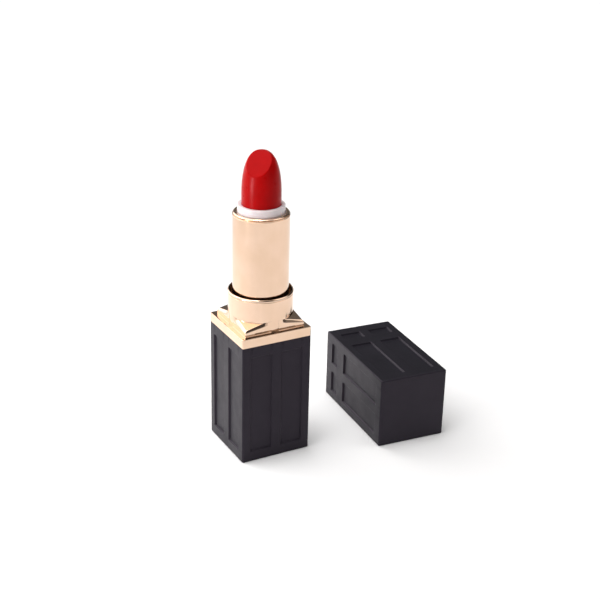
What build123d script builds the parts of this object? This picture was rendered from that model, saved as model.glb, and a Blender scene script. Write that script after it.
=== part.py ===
from build123d import *
import math
import os

# Twist-up lipstick case: square black base and cap, gold shoulder and tube, red bullet.
# Units are millimetres. +Z is up, and the origin is the centre of the base's underside.
# The bullet is wound fully out, and the cap lies on one side next to the base.

# ---- bullet and cup -------------------------------------------------------------
bullet_diameter = 11.3
bullet_seat = 9.0            # length of the bullet held inside the cup
bullet_straight = 2.3        # straight length that shows above the cup
taper_length = 13.2          # from the end of the straight part to the uncut apex
taper_fullness = 2.36        # ogive: r = R * (1 - t ** fullness) ** (1 / roundness)
taper_roundness = 2.53
slant_angle = 48.8           # slope of the slanted face, from horizontal
slant_heading = -48.0        # compass heading of the slant's low side, 0 is -Y
slant_drop = 0.5             # the slanted face crosses the axis this far under the apex
nose_steps = 14              # points along the ogive
bullet_clearance = 0.02
cup_wall = 1.14
cup_length = 14.0
cup_above_lip = 2.1          # white ring that shows above the gold tube
cup_floor = 1.2
cup_edge_radius = 0.28
lug_diameter = 1.6
lug_height = 1.8             # lug centre above the cup's lower end
stroke = 19.0                # how far the cup travels
turns = 1.25                 # turns of the tube for the whole stroke

# ---- tubes of the twist mechanism, from the inside out ----------------------------
running_clearance = 0.12     # cup in the slotted tube
slot_clearance = 0.15        # each side of a lug, in both slots
guide_wall = 0.42            # slotted guide tube
turning_clearance = 0.10     # guide tube inside the spiral sleeve
spiral_wall = 0.35
seat_clearance = 0.03        # spiral sleeve in the gold tube
tube_wall = 0.35
end_gap = 0.30               # axial gap where one piece turns over another
tube_lip_height = 0.85
tube_lip_overlap = 0.23      # the rolled lip stops this far outside the cup
tube_lip_nose = 0.20         # inner rounding of the lip
lip_crown = 0.55             # the lip's outer curve ends this share of the way in
lip_bulge_in = 0.25          # a point the curve passes: its share of the way in, and of the way up
lip_bulge_up = 0.66
groove_depth = 0.12          # fine line under each rolled lip
groove_height = 0.22

# ---- shoulder ---------------------------------------------------------------------
collar_gap = 0.92            # open ring between the gold tube and the collar
collar_wall = 0.40
collar_bead = 0.10           # the rolled rim stands this far out from the collar
collar_bead_height = 0.65
bead_bulge_up = 0.45         # share of the bead's height where it stands out furthest
collar_height = 9.95         # above the flange
tube_above_collar = 23.6
flange_height = 2.8
block_clearance = 0.25       # block inside the cap's mouth
facet_low = 1.6              # height of the block's corner edges
facet_high = 3.44            # height where the corner facets meet the collar
skirt_depth = 4.0            # square skirt that plugs into the base
skirt_wall = 1.2
seat_thickness = 1.2         # inner ledge that the guide tube's foot stands on

# ---- base and cap -------------------------------------------------------------------
cap_clearance = 0.10         # collar rim inside the cap
shell_wall = 1.3
body_height = 37.1
base_floor = 1.6
foot_recess = 0.4
foot_width = 1.8
cap_length = 37.8
cap_top = 1.5
edge_radius = 0.45
mouth_radius = 0.15
fit_clearance = 0.05         # parts pressed together in the base and in the cap
collar_fit = 0.02            # collar in the shoulder frame

# ---- recessed panels in the black shells -------------------------------------------
panel_depth = 0.5
panel_draft = 30.0           # slope of a panel's sides, from straight in
panel_corner = 0.35
panel_cut_start = 1.0        # panel cutters start this far outside the wall
panel_margin = 2.6           # from the side edges
panel_mullion = 3.0          # between the two columns of panels
base_panel_margin = 3.2      # from the base's top and bottom
cap_mouth_margin = 3.7
cap_short_panel = 4.0
cap_rail = 4.3               # between the short and the long panels
cap_end_margin = 3.4

# ---- hidden holder, weight and brake -------------------------------------------------
weight_height = 8.5
weight_chamfer = 1.0
weight_clearance = 0.2
stem_diameter = 13.0
stem_length = 14.0
stem_wall = 1.3
socket_wall = 1.2
holder_wall = 1.0
holder_floor = 1.2
rib_thickness = 1.0
foot_thickness = 1.0         # foot flange of the guide tube
brake_height = 1.2
brake_clearance = 0.08       # brake ring inside the gold tube
brake_lift = 0.6             # brake ring above the foot flange

# ---- inner cap ------------------------------------------------------------------------
liner_plate = 1.0
liner_clearance = 0.08       # collar rim inside the inner cap's corner posts
liner_gap = 0.4              # inner cap above the block, when the cap is on
liner_slot = 8.0             # open width between the corner posts

# ---- where the cap lies -----------------------------------------------------------------
cap_corner_x = 30.1          # near left corner of the cap's closed end, on the table
cap_corner_y = -20.4
cap_yaw = -4.46

# ---- radii worked out from the inside to the outside ------------------------------------
bullet_radius = bullet_diameter / 2
cup_bore = bullet_radius + bullet_clearance
cup_radius = cup_bore + cup_wall
guide_bore = cup_radius + running_clearance
guide_radius = guide_bore + guide_wall
spiral_bore = guide_radius + turning_clearance
spiral_radius = spiral_bore + spiral_wall
tube_bore = spiral_radius + seat_clearance
tube_radius = tube_bore + tube_wall
lip_bore = cup_radius + tube_lip_overlap
collar_bore = tube_radius + collar_gap
collar_radius = collar_bore + collar_wall
rim_radius = collar_radius + collar_bead
shell_bore = rim_radius + cap_clearance
half = shell_bore + shell_wall
block_half = shell_bore - block_clearance
stem_radius = stem_diameter / 2
socket_bore = stem_radius + fit_clearance
socket_radius = socket_bore + socket_wall

# ---- heights ------------------------------------------------------------------------------
ledge_z = body_height + flange_height
collar_top = ledge_z + collar_height
tube_top = collar_top + tube_above_collar
seat_z = body_height + seat_thickness
foot_top = seat_z + foot_thickness
tube_bottom = foot_top + end_gap
brake_z = foot_top + brake_lift
spiral_bottom = brake_z + brake_height + brake_lift
spiral_top = tube_top - tube_lip_height - seat_clearance
guide_top = tube_top - tube_lip_height - end_gap
cup_top = tube_top + cup_above_lip
cup_bottom = cup_top - cup_length
lug_z = cup_bottom + lug_height
bullet_bottom = cup_top - bullet_seat
taper_z = cup_top + bullet_straight
skirt_bottom = body_height - skirt_depth
holder_bottom = base_floor + weight_height + fit_clearance

BOTTOM = (Align.CENTER, Align.CENTER, Align.MIN)


def disc(radius, low, high):
    return Pos(0, 0, low) * Cylinder(radius, high - low, align=BOTTOM)


def ring(outer, inner, low, high):
    return disc(outer, low, high) - disc(inner, low, high)


def block(half_width, low, high):
    return Pos(0, 0, low) * Box(2 * half_width, 2 * half_width, high - low, align=BOTTOM)


def turned(outline):
    """A closed line of points and arcs in the XZ plane, turned about Z."""
    return revolve(Plane.XZ * make_face(outline), Axis.Z)


def panel_cutter(width, low, high):
    """One recess in the +X wall: widest at the surface, with sloping sides."""
    mouth = Plane(origin=(half + panel_cut_start, 0, (low + high) / 2), x_dir=(0, 1, 0), z_dir=(-1, 0, 0))
    spread = panel_cut_start * math.tan(math.radians(panel_draft))
    outline = RectangleRounded(width + 2 * spread, high - low + 2 * spread, panel_corner + spread)
    return extrude(mouth * outline, amount=panel_depth + panel_cut_start, taper=panel_draft)


def panelled(shell, rows):
    """Cuts two columns of recesses into each of the four walls, for each (low, high) row."""
    width = half - panel_margin - panel_mullion / 2
    centre = (panel_mullion + width) / 2
    for low, high in rows:
        cutter = panel_cutter(width, low, high)
        for quarter in range(4):
            for side in (-1, 1):
                shell -= Rot(0, 0, 90 * quarter) * (Pos(0, side * centre, 0) * cutter)
    return shell


def base_shell():
    shell = block(half, 0, body_height)
    shell = fillet(shell.edges().filter_by(Axis.Z), edge_radius)
    shell = fillet(shell.faces().sort_by(Axis.Z)[0].edges(), edge_radius)
    shell -= block(shell_bore, base_floor, body_height)
    shell -= block(half - foot_width, 0, foot_recess)
    return panelled(shell, [(base_panel_margin, body_height - base_panel_margin)])


def base_weight():
    weight = block(shell_bore - weight_clearance, base_floor, base_floor + weight_height)
    return chamfer(weight.edges().filter_by(Axis.Z), weight_chamfer)


def base_holder():
    """Square holder that fills the base and grips the guide tube's stem in a round socket."""
    outer = shell_bore - fit_clearance
    top = skirt_bottom - fit_clearance
    holder = block(outer, holder_bottom, top) - block(outer - holder_wall, holder_bottom + holder_floor, top)
    for turn in (0, 90):
        rib = Box(2 * outer - holder_wall, rib_thickness, top - holder_bottom, align=BOTTOM)
        holder += Rot(0, 0, turn) * (Pos(0, 0, holder_bottom) * rib)
    socket_top = body_height - fit_clearance
    holder += disc(socket_radius, holder_bottom, socket_top)
    return holder - disc(socket_bore, holder_bottom + holder_floor, socket_top)


def corner_facet():
    """Everything above the sloping facet on the block's +X +Y corner."""
    chord = math.sqrt(collar_radius**2 - block_half**2)
    outer = block_half * math.sqrt(2)
    inner = (block_half + chord) / math.sqrt(2)
    slope = math.degrees(math.atan2(facet_high - facet_low, outer - inner))
    size = 2 * half
    above = Pos(outer, 0, ledge_z + facet_low) * Rot(0, slope, 0) * Box(size, size, size, align=BOTTOM)
    return Rot(0, 0, 45) * above


def shoulder_frame():
    """Gold square flange with four faceted corners, a seat inside and a skirt that plugs into the base."""
    flange = block(half, body_height, ledge_z)
    flange = fillet(flange.edges().filter_by(Axis.Z), edge_radius)
    flange = fillet(flange.faces().sort_by(Axis.Z)[-1].edges(), mouth_radius)
    corners = block(block_half, ledge_z, ledge_z + facet_high)
    for quarter in range(4):
        corners -= Rot(0, 0, 90 * quarter) * corner_facet()
    skirt_half = shell_bore - fit_clearance
    body = flange + corners + block(skirt_half, skirt_bottom, body_height)
    body -= block(skirt_half - skirt_wall, skirt_bottom, body_height)
    body -= disc(collar_radius + collar_fit, seat_z, ledge_z + facet_high)
    return body - disc(socket_bore, body_height, seat_z)


def collar():
    """Gold collar that stands in the frame: a thin sleeve with a rolled rim and a fine groove under it."""
    rim = collar_top - collar_bead_height
    crown = collar_bore + collar_wall / 2
    bulge = (rim_radius, rim + collar_bead_height * bead_bulge_up)
    foot = seat_z + collar_fit
    neck = collar_radius - groove_depth
    inner_end = (collar_bore, collar_top - collar_wall / 2)
    outline = Polyline(inner_end, (collar_bore, foot), (collar_radius, foot), (collar_radius, rim - groove_height),
                       (neck, rim - groove_height), (neck, rim), (collar_radius, rim))
    outline += ThreePointArc((collar_radius, rim), bulge, (crown, collar_top))
    outline += RadiusArc((crown, collar_top), inner_end, -collar_wall / 2)
    return turned(outline)


def lug_slots():
    """Cutter for the two straight slots that stop the cup from turning."""
    width = lug_diameter + 2 * slot_clearance
    low = lug_z - stroke
    slot = Pos(0, 0, low) * Box(4 * tube_radius, width, stroke, align=BOTTOM)
    for end in (low, lug_z):
        slot += Pos(0, 0, end) * Rot(0, 90, 0) * Cylinder(width / 2, 4 * tube_radius)
    return slot


def guide_tube():
    """Slotted tube that guides the cup, with a foot flange and a stem for the holder."""
    foot_radius = collar_bore - running_clearance
    body = disc(guide_radius, foot_top, guide_top) - disc(guide_bore, foot_top + foot_thickness, guide_top)
    body += disc(foot_radius, seat_z, foot_top)
    body += disc(stem_radius, seat_z - stem_length, seat_z)
    body -= disc(stem_radius - stem_wall, seat_z - stem_length, seat_z)
    return body - lug_slots()


def brake_ring():
    """Silicone ring that gives the twist its drag."""
    return ring(tube_bore - brake_clearance, guide_radius + fit_clearance, brake_z, brake_z + brake_height)


def spiral_slot():
    """Winding cutter for one slot. It runs on past the lug's centre by half its width at both ends."""
    width = lug_diameter + 2 * slot_clearance
    middle = (spiral_bore + spiral_radius) / 2
    travel = Helix(pitch=stroke / turns, height=stroke, radius=middle)
    overrun = width / 2 / travel.length
    path = Helix(pitch=stroke / turns, height=stroke * (1 + 2 * overrun), radius=middle)
    section = Plane(origin=path @ 0, x_dir=(1, 0, 0), z_dir=path % 0) * Rectangle(4 * spiral_wall, width)
    band = sweep(section, path=path, is_frenet=True)
    return Pos(0, 0, lug_z - stroke * (1 + overrun)) * Rot(0, 0, -360 * turns * (1 + overrun)) * band


def spiral_sleeve():
    """Sleeve with two spiral slots that raise and lower the cup's lugs."""
    sleeve = ring(spiral_radius, spiral_bore, spiral_bottom, spiral_top)
    for start in (0, 180):
        sleeve -= Rot(0, 0, start) * spiral_slot()
    return sleeve


def tube_shell():
    """Gold tube with a rolled lip that hides the ends of the tubes inside it."""
    lip = tube_top - tube_lip_height
    shoulder_z = lip + groove_height
    crown = tube_radius - lip_crown * (tube_radius - lip_bore)
    nose = tube_lip_nose
    outline = Polyline((crown, tube_top), (lip_bore + nose, tube_top))
    outline += RadiusArc((lip_bore + nose, tube_top), (lip_bore, tube_top - nose), -nose)
    outline += Polyline((lip_bore, tube_top - nose), (lip_bore, lip), (tube_bore, lip), (tube_bore, tube_bottom),
                        (tube_radius, tube_bottom), (tube_radius, lip), (tube_radius - groove_depth, lip),
                        (tube_radius - groove_depth, shoulder_z), (tube_radius, shoulder_z))
    rise = tube_top - shoulder_z
    bulge = (tube_radius - lip_bulge_in * (tube_radius - crown), shoulder_z + lip_bulge_up * rise)
    outline += ThreePointArc((tube_radius, shoulder_z), bulge, (crown, tube_top))
    return turned(outline)


def bullet_cup():
    """White cup that carries the bullet, with two lugs near its lower end."""
    cup = disc(cup_radius, cup_bottom, cup_top)
    cup = fillet(cup.edges().sort_by(Axis.Z)[-1], cup_edge_radius)
    cup -= disc(cup_bore, bullet_bottom, cup_top)
    cup -= disc(cup_bore - cup_wall, cup_bottom, bullet_bottom - cup_floor)
    lug_reach = spiral_radius - slot_clearance
    for turn in (0, 180):
        lug = Pos(cup_radius - cup_wall, 0, lug_z) * Rot(0, 90, 0)
        lug *= Cylinder(lug_diameter / 2, lug_reach - cup_radius + cup_wall, align=BOTTOM)
        cup += Rot(0, 0, turn) * lug
    return cup


def lipstick_bullet():
    """Red bullet: a straight length, an ogive nose and one slanted flat face."""
    nose = []
    for step in range(nose_steps + 1):
        t = math.sin(step / nose_steps * math.pi / 2)
        radius = bullet_radius * (1 - t**taper_fullness) ** (1 / taper_roundness)
        nose.append((radius, taper_z + taper_length * t))
    apex = (0, taper_z + taper_length)
    nose[-1] = apex
    outline = Polyline(apex, (0, bullet_bottom), (bullet_radius, bullet_bottom), nose[0])
    outline += Spline(*nose, tangents=((0, 1), (-1, 0)))
    bullet = turned(outline)
    size = 4 * bullet_radius
    above = Box(2 * size, 2 * size, size, align=BOTTOM)
    cut = Pos(0, 0, apex[1] - slant_drop) * Rot(0, 0, slant_heading) * Rot(slant_angle, 0, 0) * above
    return bullet - cut


def cap_shell():
    """Square cap, mouth down, before it is laid on its side."""
    shell = block(half, 0, cap_length)
    shell = fillet(shell.edges().filter_by(Axis.Z), edge_radius)
    shell = fillet(shell.faces().sort_by(Axis.Z)[-1].edges(), edge_radius)
    shell = fillet(shell.faces().sort_by(Axis.Z)[0].edges(), mouth_radius)
    shell -= block(shell_bore, 0, cap_length - cap_top)
    short_top = cap_mouth_margin + cap_short_panel
    return panelled(shell, [(cap_mouth_margin, short_top), (short_top + cap_rail, cap_length - cap_end_margin)])


def cap_liner():
    """Inner cap: a plate under the cap's top, and four corner posts that grip the collar."""
    outer = shell_bore - fit_clearance
    low = facet_high + liner_gap
    top = cap_length - cap_top - fit_clearance
    liner = block(outer, low, top)
    plate = top - liner_plate
    liner -= disc(rim_radius + liner_clearance, low, plate)
    for turn in (0, 90):
        cross = Box(2 * half, liner_slot, plate - low, align=BOTTOM)
        liner -= Rot(0, 0, turn) * (Pos(0, 0, low) * cross)
    return liner


def laid_down(piece):
    """Turns a cap piece onto its side: mouth to the back, closed end to the front."""
    mouth = Pos(half, cap_length, half) * Rot(90, 0, 0)
    return Pos(cap_corner_x, cap_corner_y, 0) * Rot(0, 0, cap_yaw) * mouth * piece


PIECES = {
    "base_shell": base_shell,
    "base_weight": base_weight,
    "base_holder": base_holder,
    "shoulder_frame": shoulder_frame,
    "collar": collar,
    "guide_tube": guide_tube,
    "brake_ring": brake_ring,
    "spiral_sleeve": spiral_sleeve,
    "tube_shell": tube_shell,
    "bullet_cup": bullet_cup,
    "lipstick_bullet": lipstick_bullet,
    "cap_shell": lambda: laid_down(cap_shell()),
    "cap_liner": lambda: laid_down(cap_liner()),
}

os.makedirs("parts", exist_ok=True)
for name, make in PIECES.items():
    export_step(make(), "parts/" + name + ".step")
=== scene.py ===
import math
import bpy
import numpy as np
from mathutils import Matrix, Vector


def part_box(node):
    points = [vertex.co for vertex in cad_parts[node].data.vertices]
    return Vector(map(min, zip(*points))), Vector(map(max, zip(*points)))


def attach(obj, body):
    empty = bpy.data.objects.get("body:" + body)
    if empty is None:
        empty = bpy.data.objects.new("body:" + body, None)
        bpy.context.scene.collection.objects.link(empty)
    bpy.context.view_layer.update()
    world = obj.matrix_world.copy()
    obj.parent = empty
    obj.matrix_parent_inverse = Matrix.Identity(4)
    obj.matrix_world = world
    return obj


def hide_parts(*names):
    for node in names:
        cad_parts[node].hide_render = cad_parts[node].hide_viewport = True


# Twist-up lipstick case: satin black square base and cap, pale gold shoulder and tube, red bullet.
# Sizes are millimetres, in the part's own frame: +Z up, origin under the middle of the base. The
# lights, the floor and the camera are in metres.

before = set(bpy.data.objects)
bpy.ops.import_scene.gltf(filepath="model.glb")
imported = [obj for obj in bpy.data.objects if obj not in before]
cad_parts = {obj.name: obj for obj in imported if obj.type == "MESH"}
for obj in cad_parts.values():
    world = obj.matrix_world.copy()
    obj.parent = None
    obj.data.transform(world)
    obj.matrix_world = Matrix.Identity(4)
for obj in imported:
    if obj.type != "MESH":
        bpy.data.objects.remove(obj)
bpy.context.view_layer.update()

MM = 0.001
NEARLY = 1e-6


def size_of(node):
    """Lowest and highest corner of a part of the frame, in millimetres."""
    low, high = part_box(node)
    return np.array(low) / MM, np.array(high) / MM


# ---- sizes read from the frame ------------------------------------------------------------
base_high = size_of("base_shell")[1]
frame_low = size_of("shoulder_frame")[0]
collar_low, collar_high = size_of("collar")
tube_low, tube_high = size_of("tube_shell")
cup_low, cup_high = size_of("bullet_cup")
bullet_low, bullet_high = size_of("lipstick_bullet")

HALF = base_high[0]                    # half the width of base, flange and cap
BODY_TOP = base_high[2]                # where the gold flange sits on the base
RIM_RADIUS = collar_high[0]            # the rolled rim is the collar's widest line
COLLAR_RADIUS = RIM_RADIUS - 0.10
COLLAR_BORE = COLLAR_RADIUS - 0.40
COLLAR_TOP = collar_high[2]
COLLAR_BOTTOM = collar_low[2]
TUBE_RADIUS = tube_high[0]
TUBE_BORE = TUBE_RADIUS - 0.35
TUBE_TOP = tube_high[2]
TUBE_BOTTOM = tube_low[2]
CUP_RADIUS = cup_high[1]
CUP_TOP = cup_high[2]
CUP_BOTTOM = cup_low[2]
BULLET_RADIUS = bullet_high[0]
BULLET_BOTTOM = bullet_low[2]

# ---- black shells -------------------------------------------------------------------------
SHELL_BORE = HALF - 1.3                # half the width inside
EDGE_ROUND = 0.45                      # upright edges, foot and the cap's closed end
TOP_ROUND = 0.12                       # top edge of the base
LIP_ROUND = 0.15                       # at the cap's mouth and on the flange
FINEST_ROUND = 0.04                    # least corner radius left on a rounded end
INNER_ROUND = 0.3                      # upright edges inside
INNER_ROW = 20.0                       # height of one more row on the inner wall
CENTRE_RING = 4.0                      # half width of the square round the middle of a flat end
BASE_FLOOR = 1.6
FOOT_RECESS = 0.4
FOOT_INSIDE = HALF - 1.8
CAP_LENGTH = 37.8
CAP_CEILING = CAP_LENGTH - 1.5
CAP_END_RINGS = (9.0, CENTRE_RING)
CAP_END_CORNER = 0.1
MOUTH_BEVEL = 0.1                      # inside the cap's mouth
CAP_CORNER = (30.1, -20.4)             # where the cap lies
CAP_YAW = math.radians(-4.46)

PANEL_DEPTH = 0.5
PANEL_SLOPE = math.radians(60)         # of a recess's sides, from the surface
PANEL_CORNER = 0.35
PANEL_COLUMNS = ((1.5, 8.4), (-8.4, -1.5))
BASE_PANELS = ((3.2, BODY_TOP - 3.2),)
CAP_PANELS = ((3.7, 7.7), (12.0, CAP_LENGTH - 3.4))
ROUND_OVER = 0.15                      # soft outer edge of a recess
ROUND_FOOT = 0.10                      # soft inner edge of a recess
BEFORE_EDGE = [-0.2]                   # more grid lines outside a recess's edge
PAST_SLOPE = [0.42, 0.5, 0.58, 0.66, 0.8]   # and on its floor, past the slope

# ---- shoulder -----------------------------------------------------------------------------
LEDGE = BODY_TOP + 2.8
LEDGE_FILLET = 0.1
BLOCK_HALF = SHELL_BORE - 0.25
BLOCK_ROUND = 0.18
BLOCK_STRAIGHT = 0.93                  # share of the block's side above its fillet
FACET_LOW = 1.6
FACET_HIGH = 3.44
BEVEL_IN = 0.60                        # soft slanted edge round each facet, on the facet
BEVEL_DOWN = 0.30                      # and down the block, as a share of its side
BEVEL_FLAT = (0.2, 0.8)                # shares of the slanted edge where it is flat
BEVEL_RUN_IN = 0.15                    # how far before it the facet starts to bend
BEVEL_RUN_OUT = 0.08                   # and how far after it the side stops, as a share
FRAME_BORE = COLLAR_RADIUS + 0.02
SEAT_TOP = BODY_TOP + 1.2
FLANGE_BREAK = 0.08                    # lower edge of the flange
SKIRT_HALF = SHELL_BORE - 0.05
SKIRT_INSIDE = SKIRT_HALF - 1.2
SKIRT_ROUND = 0.2
SKIRT_BOTTOM = frame_low[2]
SOCKET_BORE = 6.55

RIM_HEIGHT = 0.65                      # rolled rim of the collar
RIM_EDGE = 0.06
TUBE_LIP = 0.85                        # rolled lip of the tube
TUBE_LIP_BORE = CUP_RADIUS + 0.23
GROOVE_DEPTH = 0.12                    # fine line under each rolled lip
GROOVE_HEIGHT = 0.22
GROOVE_BREAK = 0.04                    # its edges
GROOVE_DRAFT = 0.01                    # its sides lean by this much

# ---- cup ----------------------------------------------------------------------------------
CUP_BORE = BULLET_RADIUS + 0.02
CUP_FLOOR = 1.2
CUP_UNDERSIDE = CUP_BORE - 1.14        # radius of the hollow under the floor
CUP_SOFT = 0.28                        # outer edge of the cup's mouth
CUP_SOFT_INSIDE = 0.12                 # inner edge
CUP_BREAK = 0.1                        # lower edge
CUP_RING = 2.0                         # ring round the middle of the floor
LUG_RADIUS = 0.8
LUG_BREAK = 0.12
LUG_HEIGHT = CUP_BOTTOM + 1.8
LUG_ROOT = CUP_RADIUS - 0.6
LUG_TIP = cup_high[0]

# ---- bullet -------------------------------------------------------------------------------
FOOT_BREAK = 0.15
FOOT_RING = 3.0                        # ring round the middle of the foot
TAPER_START = CUP_TOP + 2.3
TAPER_LENGTH = 13.2
TAPER_FULLNESS = 2.36
TAPER_ROUNDNESS = 2.53
SLANT_SLOPE = math.radians(48.8)
SLANT_UPHILL = np.array((0.7431, 0.6691))
SLANT_DROP = 0.5
SLANT_SOFT = 0.32                      # soft edge round the slanted flat
SLANT_SOFT_LEAST = 0.35                # share of it that is left at the bullet's tip
SLANT_RINGS = (0.12, 0.3, 0.55, 0.8)   # rows on the flat, as shares of the way to its middle

# ---- grids --------------------------------------------------------------------------------
TURNED_COLUMNS = 224
LUG_COLUMNS = 40
BULLET_COLUMNS = 288
NOSE_ROWS = 40
SEAT_COLUMNS = 9                       # along the stretch of a side where the bore is outside
FACET_COLUMNS = 22                     # along the rest of that side, each way
SEAT_EDGE = 0.004                      # the change from one to the other, as a share of a side
FACET_FIRST = 0.02
CREASE = math.radians(35)


# ==== mesh making ==============================================================================

def smooth(mesh, face_count):
    """Smooth shading, broken where faces meet at more than the crease angle."""
    mesh.polygons.foreach_set("use_smooth", np.ones(face_count, bool))
    mesh.set_sharp_from_angle(angle=CREASE)


def piece(name, rows, first=None, last=None, ring=False):
    """Mesh from a (rows, columns, 3) grid in millimetres. Columns close round on themselves, and
    with ring the rows do too. first and last are points that close the ends with a fan. The
    signed volume, the sum of a . (b x c) over the triangles, says whether to turn all the faces
    round."""
    rows = np.asarray(rows, float)
    count, width = rows.shape[:2]
    points = rows.reshape(-1, 3)
    here = np.arange(count * width).reshape(count, width)
    below = here if ring else here[:-1]
    above = np.roll(here, -1, 0) if ring else here[1:]
    quads = np.stack([below, np.roll(below, -1, 1), np.roll(above, -1, 1), above], -1)
    quads = quads.reshape(-1, 4)
    faces = quads.tolist()
    corners = [quads[:, [0, 1, 2]], quads[:, [0, 2, 3]]]
    for end, row, reverse in ((first, here[0], True), (last, here[-1], False)):
        if end is None:
            continue
        pole = np.full(width, len(points))
        points = np.vstack([points, end])
        fan = np.stack([row, np.roll(row, -1), pole], -1)
        fan = fan[:, ::-1] if reverse else fan
        faces += fan.tolist()
        corners.append(fan)
    a, b, c = points[np.vstack(corners)].transpose(1, 0, 2)
    if np.einsum("ij,ij->i", a, np.cross(b, c)).sum() < 0:
        faces = [face[::-1] for face in faces]
    mesh = bpy.data.meshes.new(name)
    mesh.from_pydata((points * MM).tolist(), [], faces)
    smooth(mesh, len(faces))
    made = bpy.data.objects.new(name, mesh)
    bpy.context.scene.collection.objects.link(made)
    even = made.modifiers.new("even_shading", "WEIGHTED_NORMAL")
    even.keep_sharp = True
    return made


def join(target, extra):
    """Adds one mesh's points and faces to another, then removes the extra object."""
    points, faces = [], []
    for mesh in (target.data, extra.data):
        flat = np.empty(len(mesh.vertices) * 3)
        mesh.vertices.foreach_get("co", flat)
        start = sum(len(p) for p in points)
        faces += [[start + v for v in polygon.vertices] for polygon in mesh.polygons]
        points.append(flat.reshape(-1, 3))
    joined = bpy.data.meshes.new(target.name)
    joined.from_pydata(np.vstack(points).tolist(), [], faces)
    smooth(joined, len(faces))
    target.data = joined
    bpy.data.objects.remove(extra)


def arc(start, middle, end, steps):
    """Points of the circle through three points, evenly spaced in angle from start to end. With
    w = (c - a) / (b - a) in the complex plane, the centre is a + (b - a)(w - |w|^2) / (2i Im w)."""
    a, b, c = (complex(*p) for p in (start, middle, end))
    w = (c - a) / (b - a)
    centre = (b - a) * (w - abs(w) ** 2) / (2j * w.imag) + a
    radius = abs(a - centre)
    first, half_way, last = (math.atan2((p - centre).imag, (p - centre).real) for p in (a, b, c))
    span = (last - first) % math.tau
    if (half_way - first) % math.tau > span:
        span -= math.tau
    angles = first + span * np.linspace(0, 1, steps + 1)
    return np.stack([centre.real + radius * np.cos(angles),
                     centre.imag + radius * np.sin(angles)], 1)


def turned(profile, columns=TURNED_COLUMNS):
    """Profile of (radius, height) points turned about Z: x = r cos a, y = r sin a."""
    angle = np.linspace(0, math.tau, columns, endpoint=False)
    radius, height = np.asarray(profile, float).T
    return np.stack([np.outer(radius, np.cos(angle)), np.outer(radius, np.sin(angle)),
                     np.repeat(height[:, None], columns, 1)], -1)


def softened(profile, radii, steps=5):
    """Each corner of a closed (radius, height) outline becomes a curve from its own radius before
    it to the same after it, which bends towards it: (1-t)^2 P + 2t(1-t) corner + t^2 Q. A radius
    takes at most 0.45 of the side."""
    corner = np.asarray(profile, float)
    radius = np.asarray(radii, float)[:, None]
    back = np.roll(corner, 1, 0) - corner
    ahead = np.roll(corner, -1, 0) - corner
    back_length = np.linalg.norm(back, axis=1, keepdims=True)
    ahead_length = np.linalg.norm(ahead, axis=1, keepdims=True)
    start = corner + back / back_length * np.minimum(radius, back_length * 0.45)
    end = corner + ahead / ahead_length * np.minimum(radius, ahead_length * 0.45)
    t = np.linspace(0, 1, steps + 1)[None, :, None]
    curve = (1 - t) ** 2 * start[:, None] + 2 * t * (1 - t) * corner[:, None] + t**2 * end[:, None]
    return curve.reshape(-1, 2)


def blend_rows(before, corner, after, steps=4):
    """Rows of a soft edge: (1-t)^2 before + 2t(1-t) corner + t^2 after."""
    return [(1 - t) ** 2 * before + 2 * t * (1 - t) * corner + t**2 * after
            for t in np.linspace(0, 1, steps + 1)]


def square_path(along, corner_angles, half, radius):
    """Rounded square, anticlockwise: along runs from -1 to 1 on each straight side, and
    corner_angles turn each corner. Gives the points and their outward directions."""
    flat = half - radius
    side = np.stack([np.full_like(along, half), along * flat], 1)
    side_out = np.tile([1.0, 0.0], (len(along), 1))
    corner_out = np.stack([np.cos(corner_angles), np.sin(corner_angles)], 1)
    quarters = [(np.vstack([side, flat + radius * corner_out]), np.vstack([side_out, corner_out]))]
    for _ in range(3):
        quarters.append(tuple(np.stack([-a[:, 1], a[:, 0]], 1) for a in quarters[-1]))
    return np.vstack([q[0] for q in quarters]), np.vstack([q[1] for q in quarters])


# ==== recessed panels ==========================================================================

def recess_profile(steps=5):
    """Depth of a recess against the distance inside its edge: flat, round-over, slope, round
    foot, flat."""
    bend = np.linspace(0, PANEL_SLOPE, steps)
    over = ROUND_OVER * math.tan(PANEL_SLOPE / 2)
    foot = ROUND_FOOT * math.tan(PANEL_SLOPE / 2)
    run = PANEL_DEPTH / math.tan(PANEL_SLOPE)
    inward = np.concatenate([-over + ROUND_OVER * np.sin(bend),
                             run + foot - ROUND_FOOT * np.sin(bend[::-1])])
    depth = np.concatenate([ROUND_OVER * (1 - np.cos(bend)),
                            PANEL_DEPTH - ROUND_FOOT * (1 - np.cos(bend[::-1]))])
    return inward, depth


RECESS_INWARD, RECESS_DEPTH = recess_profile()


def edges_of(spans):
    """(place, inward sign) of both ends of each span."""
    return [(edge, sign) for low, high in spans for edge, sign in ((low, 1), (high, -1))]


def lines_at(edges, low, high):
    """Grid positions from low to high, gathered where recesses begin and end."""
    close = np.concatenate([BEFORE_EDGE, RECESS_INWARD, PAST_SLOPE])
    places = [low, high]
    for place, sign in edges:
        places += (place + sign * close).tolist()
    places = np.unique(np.round(places, 5))
    return places[(places >= low - NEARLY) & (places <= high + NEARLY)]


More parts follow.
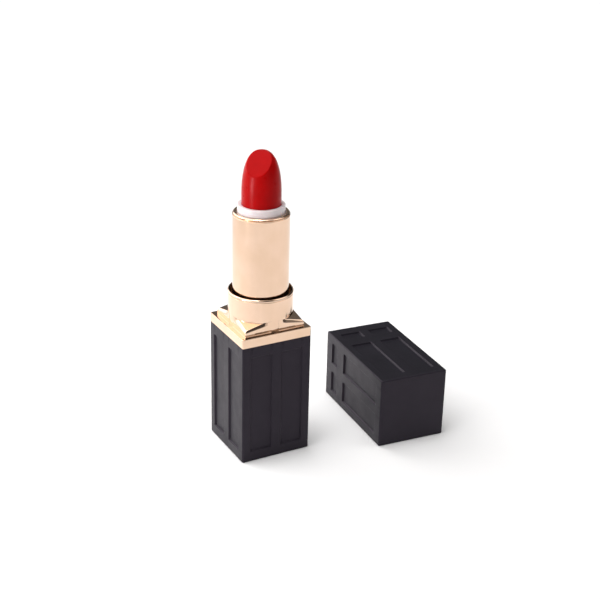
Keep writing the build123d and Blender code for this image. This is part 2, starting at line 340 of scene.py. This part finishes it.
def recess_depth(across, height, rows_of_panels):
    """Depth at (across, height): the recess profile taken at the distance inside the nearest
    rounded rectangle. That distance is corner radius - |max(q, 0)| - min(max(q), 0), where
    q = |p - centre| - (half size - corner radius)."""
    depth = np.zeros(np.broadcast(across, height).shape)
    for low, high in rows_of_panels:
        for left, right in PANEL_COLUMNS:
            qx = np.abs(across - (left + right) / 2) - ((right - left) / 2 - PANEL_CORNER)
            qz = np.abs(height - (low + high) / 2) - ((high - low) / 2 - PANEL_CORNER)
            outside = np.hypot(np.maximum(qx, 0), np.maximum(qz, 0))
            inward = PANEL_CORNER - outside - np.minimum(np.maximum(qx, qz), 0)
            depth += np.interp(inward, RECESS_INWARD, RECESS_DEPTH)
    return depth


SIDE_FLAT = HALF - EDGE_ROUND
ALONG = lines_at(edges_of(PANEL_COLUMNS), -SIDE_FLAT, SIDE_FLAT) / SIDE_FLAT
CORNER_ANGLES = np.radians(np.linspace(0, 90, 9)[1:-1])
ON_CORNER = np.zeros(len(CORNER_ANGLES))
ON_SIDE = np.tile(np.concatenate([np.ones(len(ALONG)), ON_CORNER]), 4)
ACROSS = np.tile(np.concatenate([ALONG * SIDE_FLAT, ON_CORNER]), 4)


# ==== black shells =============================================================================

def square_row(half, radius, height):
    """One level row of a shell: the rounded square at that height."""
    points, _ = square_path(ALONG, CORNER_ANGLES, half, radius)
    return np.column_stack([points, np.full(len(points), height)])


def wall_rows(heights, rows_of_panels):
    """Outer wall: the rounded square, moved inwards by the recess depth at each column and
    height."""
    points, out = square_path(ALONG, CORNER_ANGLES, HALF, EDGE_ROUND)
    depth = recess_depth(ACROSS[None, :], heights[:, None], rows_of_panels) * ON_SIDE
    flat = points[None] - depth[..., None] * out[None]
    return list(np.concatenate([flat, np.repeat(heights[:, None, None], len(points), 1)], 2))


def rounded_end(height, sign, radius, steps=7):
    """Rows of a rounded edge from the outer wall to an end face: inset = r (1 - cos a),
    rise = r (sin a - 1)."""
    rows = []
    for a in np.linspace(0, math.pi / 2, steps + 1)[1:]:
        inset = radius * (1 - math.cos(a))
        rows.append(square_row(HALF - inset, max(EDGE_ROUND - inset, FINEST_ROUND),
                               height + sign * radius * (math.sin(a) - 1)))
    return rows


def base_shell():
    """Black base: floor, inner wall, top edge, panelled outer wall, rounded foot and recessed
    underside."""
    heights = lines_at(edges_of(BASE_PANELS), EDGE_ROUND, BODY_TOP - TOP_ROUND)[::-1]
    rows = [square_row(h, INNER_ROUND, BASE_FLOOR) for h in (CENTRE_RING, SHELL_BORE)]
    rows += [square_row(SHELL_BORE, INNER_ROUND, z) for z in (INNER_ROW, BODY_TOP)]
    rows += rounded_end(BODY_TOP, 1, TOP_ROUND, steps=4)[::-1]
    rows += wall_rows(heights, BASE_PANELS)
    rows += rounded_end(0.0, -1, EDGE_ROUND)
    rows += [square_row(FOOT_INSIDE, INNER_ROUND, z) for z in (0.0, FOOT_RECESS)]
    rows.append(square_row(CENTRE_RING, INNER_ROUND, FOOT_RECESS))
    return piece("satin_base", rows, first=(0, 0, BASE_FLOOR), last=(0, 0, FOOT_RECESS))


def laid_down(rows):
    """Turns cap rows on their side and moves them to where the cap lies: (x, y, z) becomes
    (x, -z, y), then the yaw."""
    rows = np.asarray(rows)
    x, y, z = rows[..., 0] + HALF, CAP_LENGTH - rows[..., 2], rows[..., 1] + HALF
    c, s = math.cos(CAP_YAW), math.sin(CAP_YAW)
    return np.stack([c * x - s * y + CAP_CORNER[0], s * x + c * y + CAP_CORNER[1], z], -1)


def cap_shell():
    """Black cap: ceiling, inner wall, rounded mouth, panelled outer wall and rounded closed
    end."""
    heights = lines_at(edges_of(CAP_PANELS), LIP_ROUND, CAP_LENGTH - EDGE_ROUND)
    rows = [square_row(h, INNER_ROUND, CAP_CEILING) for h in (CENTRE_RING, SHELL_BORE)]
    rows += [square_row(SHELL_BORE, INNER_ROUND, z) for z in (INNER_ROW, MOUTH_BEVEL)]
    rows += [square_row(SHELL_BORE + MOUTH_BEVEL, INNER_ROUND + MOUTH_BEVEL / 2, 0.0)]
    rows += rounded_end(0.0, -1, LIP_ROUND, steps=4)[::-1]
    rows += wall_rows(heights, CAP_PANELS)
    rows += rounded_end(CAP_LENGTH, 1, EDGE_ROUND)
    rows += [square_row(h, CAP_END_CORNER, CAP_LENGTH) for h in CAP_END_RINGS]
    ends = laid_down([(0, 0, CAP_CEILING), (0, 0, CAP_LENGTH)])
    return piece("satin_cap", laid_down(rows), first=ends[0], last=ends[1])


# ==== gold shoulder and tube ===================================================================

def facet_height(x, y):
    """Height of the sloping corner facets over the ledge: it falls evenly along the diagonal,
    from its highest where the bore cuts the block's side to its lowest at the corner."""
    chord = math.sqrt(COLLAR_RADIUS**2 - BLOCK_HALF**2)
    outer = BLOCK_HALF * math.sqrt(2)
    inner = (BLOCK_HALF + chord) / math.sqrt(2)
    slope = (FACET_HIGH - FACET_LOW) / (outer - inner)
    to_corner = outer - (np.abs(x) + np.abs(y)) / math.sqrt(2)
    return np.minimum(FACET_LOW + to_corner * slope, FACET_HIGH)


def shoulder_frame():
    """Gold frame: bore, four sloping facets, block sides, ledge, flange and skirt. Each column
    runs out from the round bore to the square edges, and the block's edge is wherever the square
    stands outside the bore."""
    chord = math.sqrt(FRAME_BORE**2 - BLOCK_HALF**2) / BLOCK_HALF
    facet = np.linspace(chord + FACET_FIRST, 1, FACET_COLUMNS)
    along = np.unique(np.concatenate([np.linspace(-chord, chord, SEAT_COLUMNS),
                                      [chord + SEAT_EDGE, -chord - SEAT_EDGE], facet, -facet]))

    def at(points, height):
        return np.column_stack([points, np.broadcast_to(height, len(points))])

    def level(half, radius, height):
        return at(square_path(along, CORNER_ANGLES, half, radius)[0], height)

    edge, _ = square_path(along, CORNER_ANGLES, BLOCK_HALF, BLOCK_ROUND)
    reach = np.hypot(*edge.T)
    circle = edge / reach[:, None] * FRAME_BORE
    stands = reach > FRAME_BORE + NEARLY
    edge = np.where(stands[:, None], edge, circle)
    gap = np.linalg.norm(edge - circle, axis=1)

    def on_facet(spot):
        return at(spot, np.where(stands, LEDGE + facet_height(*spot.T), LEDGE))

    def inside(distance):
        """Points on the facet, that far in from the block's edge."""
        share = np.clip(distance / np.maximum(gap, NEARLY**2), 0, 1)[:, None]
        return on_facet(circle * share + edge * (1 - share))

    top, foot = on_facet(edge), at(edge, LEDGE)

    def down(share):
        return top + (foot - top) * share

    bevel_in, bevel_out = inside(BEVEL_IN), down(BEVEL_DOWN)
    flat_start, flat_end = (bevel_in + (bevel_out - bevel_in) * share for share in BEVEL_FLAT)
    ledge = at(edge * (1 + LEDGE_FILLET / np.hypot(*edge.T))[:, None], LEDGE)
    rows = [at(circle, SEAT_TOP), on_facet(circle)]
    rows += blend_rows(inside(BEVEL_IN + BEVEL_RUN_IN), bevel_in, flat_start)
    rows += blend_rows(flat_end, bevel_out, down(BEVEL_DOWN + BEVEL_RUN_OUT))
    rows += blend_rows(down(BLOCK_STRAIGHT), foot, ledge, 3)
    for t in np.linspace(0, math.pi / 2, 6):
        inset = LIP_ROUND * (1 - math.sin(t))
        rows.append(level(HALF - inset, EDGE_ROUND - inset, LEDGE - LIP_ROUND * (1 - math.cos(t))))
    rows.append(level(HALF, EDGE_ROUND, BODY_TOP + FLANGE_BREAK))
    rows.append(level(HALF - FLANGE_BREAK, EDGE_ROUND - FLANGE_BREAK, BODY_TOP))
    rows += [level(SKIRT_HALF, SKIRT_ROUND, z) for z in (BODY_TOP, SKIRT_BOTTOM)]
    rows += [level(SKIRT_INSIDE, SKIRT_ROUND, z) for z in (SKIRT_BOTTOM, BODY_TOP)]
    socket = circle / FRAME_BORE * SOCKET_BORE
    rows += [at(socket, BODY_TOP), at(socket, SEAT_TOP)]
    return piece("gold_shoulder_frame", rows, ring=True)


def collar():
    """Gold collar: a thin turned sleeve with a rolled rim over a fine groove."""
    rim = COLLAR_TOP - RIM_HEIGHT
    groove = COLLAR_RADIUS - GROOVE_DEPTH
    under = rim - GROOVE_HEIGHT
    roll = softened([(RIM_RADIUS, COLLAR_TOP - 0.30), (RIM_RADIUS - 0.28, COLLAR_TOP),
                     (COLLAR_BORE, COLLAR_TOP), (COLLAR_BORE, COLLAR_BOTTOM)],
                    (0.16, 0.12, 0.08, 0.02))
    body = [(COLLAR_RADIUS, COLLAR_BOTTOM), (COLLAR_RADIUS, under - GROOVE_BREAK),
            (COLLAR_RADIUS - GROOVE_BREAK, under), (groove, under + GROOVE_DRAFT),
            (groove, rim - GROOVE_DRAFT), (RIM_RADIUS - RIM_EDGE, rim),
            (RIM_RADIUS, rim + RIM_EDGE)]
    return piece("gold_collar", turned(np.vstack([roll, body])), ring=True)


def tube_shell():
    """Gold tube: a thin turned sleeve whose lip is rolled over the tubes inside it."""
    lip = TUBE_TOP - TUBE_LIP
    groove = TUBE_RADIUS - GROOVE_DEPTH
    over = lip + GROOVE_HEIGHT
    roll = softened([(TUBE_RADIUS, TUBE_TOP - 0.36), (TUBE_RADIUS - 0.50, TUBE_TOP),
                     (TUBE_LIP_BORE, TUBE_TOP), (TUBE_LIP_BORE, lip)], (0.30, 0.20, 0.12, 0.02))
    body = [(TUBE_BORE, lip), (TUBE_BORE, TUBE_BOTTOM), (TUBE_RADIUS, TUBE_BOTTOM),
            (TUBE_RADIUS, lip - GROOVE_BREAK), (TUBE_RADIUS - GROOVE_BREAK, lip),
            (groove, lip + GROOVE_DRAFT), (groove, over - GROOVE_DRAFT),
            (TUBE_RADIUS - GROOVE_BREAK, over), (TUBE_RADIUS, over + GROOVE_BREAK)]
    return piece("gold_tube", turned(np.vstack([roll, body])), ring=True)


# ==== cup and bullet ===========================================================================

def bullet_cup():
    """White cup: a turned cup with soft edges, and two round lugs that follow the slots."""
    floor_low = BULLET_BOTTOM - CUP_FLOOR
    bulge = CUP_SOFT * (1 - math.sqrt(0.5))      # how far a quarter circle's middle is set back
    roll = arc((CUP_RADIUS, CUP_TOP - CUP_SOFT), (CUP_RADIUS - bulge, CUP_TOP - bulge),
               (CUP_RADIUS - CUP_SOFT, CUP_TOP), 7)
    inner = arc((CUP_BORE + CUP_SOFT_INSIDE, CUP_TOP), (CUP_BORE + 0.035, CUP_TOP - 0.035),
                (CUP_BORE, CUP_TOP - CUP_SOFT_INSIDE), 4)
    outside = [(CUP_RING, floor_low), (CUP_UNDERSIDE, floor_low), (CUP_UNDERSIDE, CUP_BOTTOM),
               (CUP_RADIUS - CUP_BREAK, CUP_BOTTOM), (CUP_RADIUS, CUP_BOTTOM + CUP_BREAK)]
    floor = [(CUP_BORE, BULLET_BOTTOM), (CUP_RING, BULLET_BOTTOM)]
    cup = piece("white_cup", turned(np.vstack([outside, roll, inner, floor])),
                first=(0, 0, floor_low), last=(0, 0, BULLET_BOTTOM))
    lug = turned([(LUG_RADIUS, LUG_ROOT), (LUG_RADIUS, LUG_TIP - LUG_BREAK),
                  (LUG_RADIUS - LUG_BREAK, LUG_TIP)], LUG_COLUMNS)
    for side in (-1, 1):
        rows = np.stack([side * lug[..., 2], lug[..., 1], LUG_HEIGHT + lug[..., 0]], -1)
        join(cup, piece("lug", rows, first=(side * LUG_ROOT, 0, LUG_HEIGHT),
                        last=(side * LUG_TIP, 0, LUG_HEIGHT)))
    return cup


def nose_radius(t):
    """Ogive: r = R (1 - t^a)^(1/b)."""
    return BULLET_RADIUS * np.clip(1 - t**TAPER_FULLNESS, 0, 1) ** (1 / TAPER_ROUNDNESS)


def bullet():
    """Red bullet: straight side, ogive nose and a slanted flat. In each column the nose runs up
    to t*, where it meets the plane z = z0 + tan(slope) * (uphill . (x, y)), found by halving;
    then a soft edge, then the flat."""
    angle = np.linspace(0, math.tau, BULLET_COLUMNS, endpoint=False)
    way = np.stack([np.cos(angle), np.sin(angle)], 1)
    uphill = way @ SLANT_UPHILL
    rise = math.tan(SLANT_SLOPE)
    cut_height = TAPER_START + TAPER_LENGTH - SLANT_DROP
    low, high = np.zeros(BULLET_COLUMNS), np.ones(BULLET_COLUMNS)
    for _ in range(40):
        middle = (low + high) / 2
        plane = cut_height + rise * uphill * nose_radius(middle)
        above = TAPER_START + TAPER_LENGTH * middle > plane
        low, high = np.where(above, low, middle), np.where(above, middle, high)
    meets = (low + high) / 2

    def nose(t):
        return np.column_stack([way * nose_radius(t)[:, None], TAPER_START + TAPER_LENGTH * t])

    rows = [np.column_stack([way * r, np.full(BULLET_COLUMNS, z)]) for r, z in (
        (FOOT_RING, BULLET_BOTTOM), (BULLET_RADIUS - FOOT_BREAK, BULLET_BOTTOM),
        (BULLET_RADIUS, BULLET_BOTTOM + FOOT_BREAK),
        (BULLET_RADIUS, TAPER_START - 1.0), (BULLET_RADIUS, TAPER_START - 0.2))]
    edge = nose(meets)
    centre = edge.mean(0)
    centre[2] = cut_height + rise * (centre[:2] @ SLANT_UPHILL)
    share = SLANT_SOFT_LEAST + (1 - SLANT_SOFT_LEAST) * (1 - meets)
    soft_from = meets - SLANT_SOFT / TAPER_LENGTH * share
    rows += [nose(soft_from * s) for s in np.sin(np.linspace(0, math.pi / 2, NOSE_ROWS))]
    inward = centre - edge
    inward /= np.linalg.norm(inward, axis=1, keepdims=True)
    rows += blend_rows(rows[-1], edge, edge + inward * SLANT_SOFT, 6)[1:]
    rows += [edge + (centre - edge) * s for s in SLANT_RINGS]
    return piece("red_bullet", rows, first=(0, 0, BULLET_BOTTOM), last=centre)


# ==== materials ================================================================================

def colour(code):
    """Linear colour of an sRGB hex value."""
    channels = [int(code[i:i + 2], 16) / 255 for i in (1, 3, 5)]
    return tuple(c / 12.92 if c <= 0.04045 else ((c + 0.055) / 1.055) ** 2.4
                 for c in channels) + (1.0,)


def per_mm(size):
    """Noise scale for a feature of that many millimetres, in the metre units of Object
    coordinates."""
    return 1 / (size * MM)


def add(tree, kind, settings=None, links=None):
    """Adds one node, sets its attributes and sockets, and links its inputs from (node, output)."""
    node = tree.nodes.new("ShaderNode" + kind)
    for key, value in (settings or {}).items():
        if isinstance(key, int) or key in node.inputs:
            node.inputs[key].default_value = value
        else:
            setattr(node, key, value)
    for key, (source, output) in (links or {}).items():
        tree.links.new(source.outputs[output], node.inputs[key])
    return node


def finish_named(name, settings):
    """A material with one Principled shader. Numbers that are the same all over are set on it
    here."""
    made = bpy.data.materials.new(name)
    made.use_nodes = True
    tree = made.node_tree
    tree.nodes.clear()
    shader = add(tree, "BsdfPrincipled", settings)
    add(tree, "OutputMaterial", links={"Surface": (shader, "BSDF")})
    return made, tree, shader, (add(tree, "TexCoord"), "Object")


def mottled(tree, place, size, low, high, detail=3.0, stretch=None):
    """Noise of one feature size in millimetres, spread between two values."""
    if stretch:
        place = (add(tree, "Mapping", {"Scale": stretch}, {"Vector": place}), "Vector")
    noise = add(tree, "TexNoise", {"Scale": per_mm(size), "Detail": detail}, {"Vector": place})
    return add(tree, "MapRange", {"From Min": 0.3, "From Max": 0.7, "To Min": low, "To Max": high},
               {"Value": (noise, "Fac")}), "Result"


def shaded(tree, place, size, codes):
    """Colours that drift into each other over patches of one size in millimetres."""
    ramp = add(tree, "ValToRGB", links={"Fac": mottled(tree, place, size, 0, 1)})
    for stop, code in zip(ramp.color_ramp.elements, codes, strict=True):
        stop.color = colour(code)
    return ramp, "Color"


def dress(finish, codes, shade_size, rough, rough_size, grain_size, relief,
          rough_detail=3.0, grain_detail=2.0, rough_stretch=None, grain_stretch=None):
    """Gives a finish its colours, its uneven gloss between two roughness values, and a grain of
    one size and depth. Sizes and depth are millimetres."""
    made, tree, shader, place = finish
    heights = mottled(tree, place, grain_size, 0, 1, grain_detail, grain_stretch)
    bump = add(tree, "Bump", {"Strength": 1.0, "Distance": relief * MM}, {"Height": heights})
    for socket, (source, output) in (
            ("Base Color", shaded(tree, place, shade_size, codes)),
            ("Roughness", mottled(tree, place, rough_size, *rough, rough_detail, rough_stretch)),
            ("Normal", (bump, "Normal"))):
        tree.links.new(source.outputs[output], shader.inputs[socket])
    return made


def satin_black_abs():
    """Black ABS from a finely spark-eroded mould: even satin sheen with a barely visible grain."""
    finish = finish_named("satin_black_abs", {
        "IOR": 1.5, "Specular IOR Level": 0.30, "Specular Tint": colour("#FCE4FF")})
    # the real grain is 0.03 mm; it is drawn at 0.16 mm so that it shows
    return dress(finish, ("#101116", "#14151A"), 6.0, (0.40, 0.48), 4.0, 0.16, 0.004)


def champagne_gold(name, rough, wave_depth):
    """Aluminium, bright-dipped and anodised pale gold: a clear lacquered mirror, with the gentle
    waves of 2 mm and more that drawing leaves along the tube."""
    return dress(finish_named(name, {"Metallic": 1.0}), ("#E4C4A9", "#EACBB3"), 5.0, rough, 2.5,
                 2.2, wave_depth, grain_detail=1.0, grain_stretch=(1, 1, 0.35))


def lipstick_wax():
    """Pigmented wax from a metal mould: satin red that light enters a little way."""
    finish = finish_named("moulded_red_wax", {
        "IOR": 1.45, "Subsurface Weight": 0.12, "Subsurface Scale": 0.0008,
        "Subsurface Radius": (1.0, 0.2, 0.1), "Specular IOR Level": 0.12,
        "Specular Tint": colour("#FFD0D8")})
    # pigment grain of 0.02 mm, drawn at 0.45 mm so that it shows
    return dress(finish, ("#980101", "#A20202"), 3.0, (0.27, 0.32), 2.5, 0.45, 0.0006,
                 rough_detail=1.0, grain_detail=1.0)


def plastic(name, codes, rough, extra=None):
    """Plain moulded plastic: two close shades, uneven gloss and the fine grain of its mould,
    0.05 mm in the real one and drawn at 0.25 mm so that it shows."""
    return dress(finish_named(name, {"IOR": 1.49, **(extra or {})}), codes, 4.0, rough, 2.0,
                 0.25, 0.004)


def plain_metal(name, codes, rough, stretch):
    """Bare metal with the fine lines that rolling or drawing leaves along one direction, 0.3 mm
    apart."""
    return dress(finish_named(name, {"Metallic": 1.0}), codes, 2.0, rough, 0.3, 0.3, 0.006,
                 rough_detail=2.0, rough_stretch=stretch, grain_stretch=stretch)


black = satin_black_abs()
gold_mirror = champagne_gold("anodised_gold_bright", (0.07, 0.12), 0.010)
gold_satin = champagne_gold("anodised_gold_satin", (0.11, 0.15), 0.006)
wax = lipstick_wax()
cup_white = plastic("white_acetal_cup", ("#D0C6C8", "#D8CFD1"), (0.30, 0.40),
                    {"Subsurface Weight": 0.15, "Subsurface Scale": 0.0006})

NODE_FINISHES = {
    "base_weight": plain_metal("zinc_plated_steel", ("#8D9096", "#A5A8AC"), (0.30, 0.45),
                               (1, 1, 6)),
    "base_holder": plastic("black_polypropylene_holder", ("#1B1B1D", "#252527"), (0.45, 0.60)),
    "guide_tube": plastic("white_acetal_guide", ("#E9E6E0", "#F1EEE9"), (0.30, 0.42)),
    "brake_ring": plastic("clear_grey_silicone", ("#9EA2A4", "#B2B6B8"), (0.50, 0.62)),
    "spiral_sleeve": plain_metal("drawn_aluminium", ("#C4C6C8", "#D6D8DA"), (0.22, 0.34),
                                 (1, 1, 0.06)),
    "cap_liner": plastic("black_polypropylene_liner", ("#151517", "#1F1F22"), (0.35, 0.50)),
}

PIECES = (
    (base_shell(), black, "base", "satin_black_abs", "base_shell"),
    (cap_shell(), black, "cap", "satin_black_abs", "cap_shell"),
    (shoulder_frame(), gold_mirror, "base", "gold_shoulder", "shoulder_frame"),
    (collar(), gold_mirror, "base", "gold_shoulder", "collar"),
    (tube_shell(), gold_satin, "tube", "gold_tube", "tube_shell"),
    (bullet_cup(), cup_white, "carrier", "white_cup", "bullet_cup"),
    (bullet(), wax, "carrier", "lipstick_wax", "lipstick_bullet"),
)
for made, material, body, material_slot, node in PIECES:
    made.data.materials.append(material)
    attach(made, body)
    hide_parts(node)

for node, material in NODE_FINISHES.items():
    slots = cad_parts[node].data.materials
    for index in range(len(slots)):
        slots[index] = material


# ==== room, light and camera ===================================================================

FLOOR_REACH = 3.0
FILL_LIGHT = 0.70
# direction, cosine where it begins, cosine where it is full, how deep or how bright
DARK_CARDS = (((0.10, -0.66, 0.74), 0.84, 0.91, 0.90),
              ((-0.40, -0.72, 0.57), 0.86, 0.93, 0.90),
              ((0.65, 0.70, 0.30), 0.62, 0.90, 0.80),
              ((0.95, -0.25, 0.15), 0.56, 0.88, 0.85))
LAMPS = (((-0.30, 0.18, 0.937), 0.76, 0.87, 1.60),
         ((-0.48, 0.80, 0.34), 0.80, 0.92, 1.60),
         ((-0.95, -0.22, 0.20), 0.90, 0.97, 1.60),
         ((0.66, -0.28, 0.70), 0.90, 0.96, 1.20))
LIGHT_COLOUR = (1.0, 0.99, 0.985, 1.0)

SPOT_PLACE = (-0.045, 0.055, 0.40)
SPOT_POWER = 4.2
SPOT_SOFTNESS = 0.08                   # radius of the lamp
SPOT_CONE = math.radians(34)

STRIP_PLACE = (-0.163, -0.0205, 0.063)
STRIP_AIM = (0.980, 0.129, 0.150)
STRIP_SIZE = (0.036, 0.056)
STRIP_POWER = 0.0080
STRIP_SPREAD = math.radians(40)        # what its grid lets out

WIDTH = 2 * HALF * MM                  # the camera's distances are in widths of the case
CAMERA_AZIMUTH, CAMERA_ELEVATION, CAMERA_ROLL = np.radians((-28.89, 23.63, 1.359)).tolist()
CAMERA_BACK = 17.0845 * WIDTH
CAMERA_RIGHT = 0.5208 * WIDTH
CAMERA_UP = 1.9281 * WIDTH
CAMERA_LENS = 74.03
CAMERA_SENSOR = 36.0
CAMERA_NEAREST = 0.01


def paper_floor():
    """White sweep under the object: matt paper, faintly mottled."""
    paper, tree, shader, place = finish_named("matt_white_paper", {
        "Roughness": 0.6, "Specular IOR Level": 0.12, "Specular Tint": colour("#FFD0D8")})
    source, output = shaded(tree, place, 40.0, ("#F4F4F4", "#F8F8F8"))
    tree.links.new(source.outputs[output], shader.inputs["Base Color"])
    mesh = bpy.data.meshes.new("floor")
    corners = [(x * FLOOR_REACH, y * FLOOR_REACH, 0)
               for x, y in ((-1, -1), (1, -1), (1, 1), (-1, 1))]
    mesh.from_pydata(corners, [], [(0, 1, 2, 3)])
    mesh.materials.append(paper)
    floor = bpy.data.objects.new("floor", mesh)
    bpy.context.scene.collection.objects.link(floor)


def studio_world():
    """Soft tent. Light = fill * product of (1 - depth * step) over the dark cards + sum of
    lamp * step over the lamps, where step is a smooth 0 to 1 of the cosine between the ray and
    the card's or lamp's direction."""
    world = bpy.data.worlds.new("studio")
    bpy.context.scene.world = world
    world.use_nodes = True
    tree = world.node_tree
    tree.nodes.clear()
    way = add(tree, "TexCoord")

    def step(direction, low, high, start, end):
        aim = Vector(direction).normalized()
        facing = add(tree, "VectorMath", {"operation": "DOT_PRODUCT", 1: aim},
                     {0: (way, "Generated")})
        return add(tree, "MapRange", {
            "interpolation_type": "SMOOTHSTEP", "From Min": low, "From Max": high,
            "To Min": start, "To Max": end}, {"Value": (facing, "Value")}), "Result"

    def combined(operation, total, more):
        return add(tree, "Math", {"operation": operation}, {0: total, 1: more}), "Value"

    total = add(tree, "Math", {"operation": "ADD", 0: FILL_LIGHT, 1: 0.0}), "Value"
    for direction, low, high, depth in DARK_CARDS:
        total = combined("MULTIPLY", total, step(direction, low, high, 1, 1 - depth))
    for direction, low, high, light in LAMPS:
        total = combined("ADD", total, step(direction, low, high, 0, light))
    light = add(tree, "Background", {"Color": LIGHT_COLOUR}, {"Strength": total})
    add(tree, "OutputWorld", links={"Surface": (light, "Background")})


def spot_behind():
    """Soft spot from above on the paper behind and left of the object, pointing straight down.
    The left faces pick up the bright paper."""
    data = bpy.data.lights.new("spot_behind", "SPOT")
    data.energy = SPOT_POWER
    data.shadow_soft_size = SPOT_SOFTNESS
    data.spot_size = SPOT_CONE
    data.spot_blend = 1.0
    made = bpy.data.objects.new("spot_behind", data)
    made.location = SPOT_PLACE
    bpy.context.scene.collection.objects.link(made)


def strip_left():
    """Small gridded strip low on the left, tilted up to the bullet: the soft line of light down
    its side. The grid keeps its light off the paper."""
    data = bpy.data.lights.new("strip_left", "AREA")
    data.shape = "RECTANGLE"
    data.size, data.size_y = STRIP_SIZE
    data.spread = STRIP_SPREAD
    data.energy = STRIP_POWER
    made = bpy.data.objects.new("strip_left", data)
    made.location = STRIP_PLACE
    made.rotation_euler = Vector(STRIP_AIM).to_track_quat("-Z", "Y").to_euler()
    made.visible_camera = False
    bpy.context.scene.collection.objects.link(made)


def camera():
    """Camera looking back along one direction, moved sideways and up in its own plane, then
    rolled."""
    a, e, r = CAMERA_AZIMUTH, CAMERA_ELEVATION, CAMERA_ROLL
    back = Vector((math.sin(a) * math.cos(e), -math.cos(a) * math.cos(e), math.sin(e)))
    right = Vector((math.cos(a), math.sin(a), 0))
    up = back.cross(right)
    spot = back * CAMERA_BACK + right * CAMERA_RIGHT + up * CAMERA_UP
    across = right * math.cos(r) + up * math.sin(r)
    upward = up * math.cos(r) - right * math.sin(r)
    data = bpy.data.cameras.new("camera")
    data.lens = CAMERA_LENS
    data.sensor_width = CAMERA_SENSOR
    data.clip_start = CAMERA_NEAREST
    made = bpy.data.objects.new("camera", data)
    made.matrix_world = Matrix((
        (across.x, upward.x, back.x, spot.x),
        (across.y, upward.y, back.y, spot.y),
        (across.z, upward.z, back.z, spot.z),
        (0, 0, 0, 1)))
    bpy.context.scene.collection.objects.link(made)
    bpy.context.scene.camera = made


paper_floor()
studio_world()
spot_behind()
strip_left()
camera()
bpy.context.scene.view_settings.view_transform = "Standard"
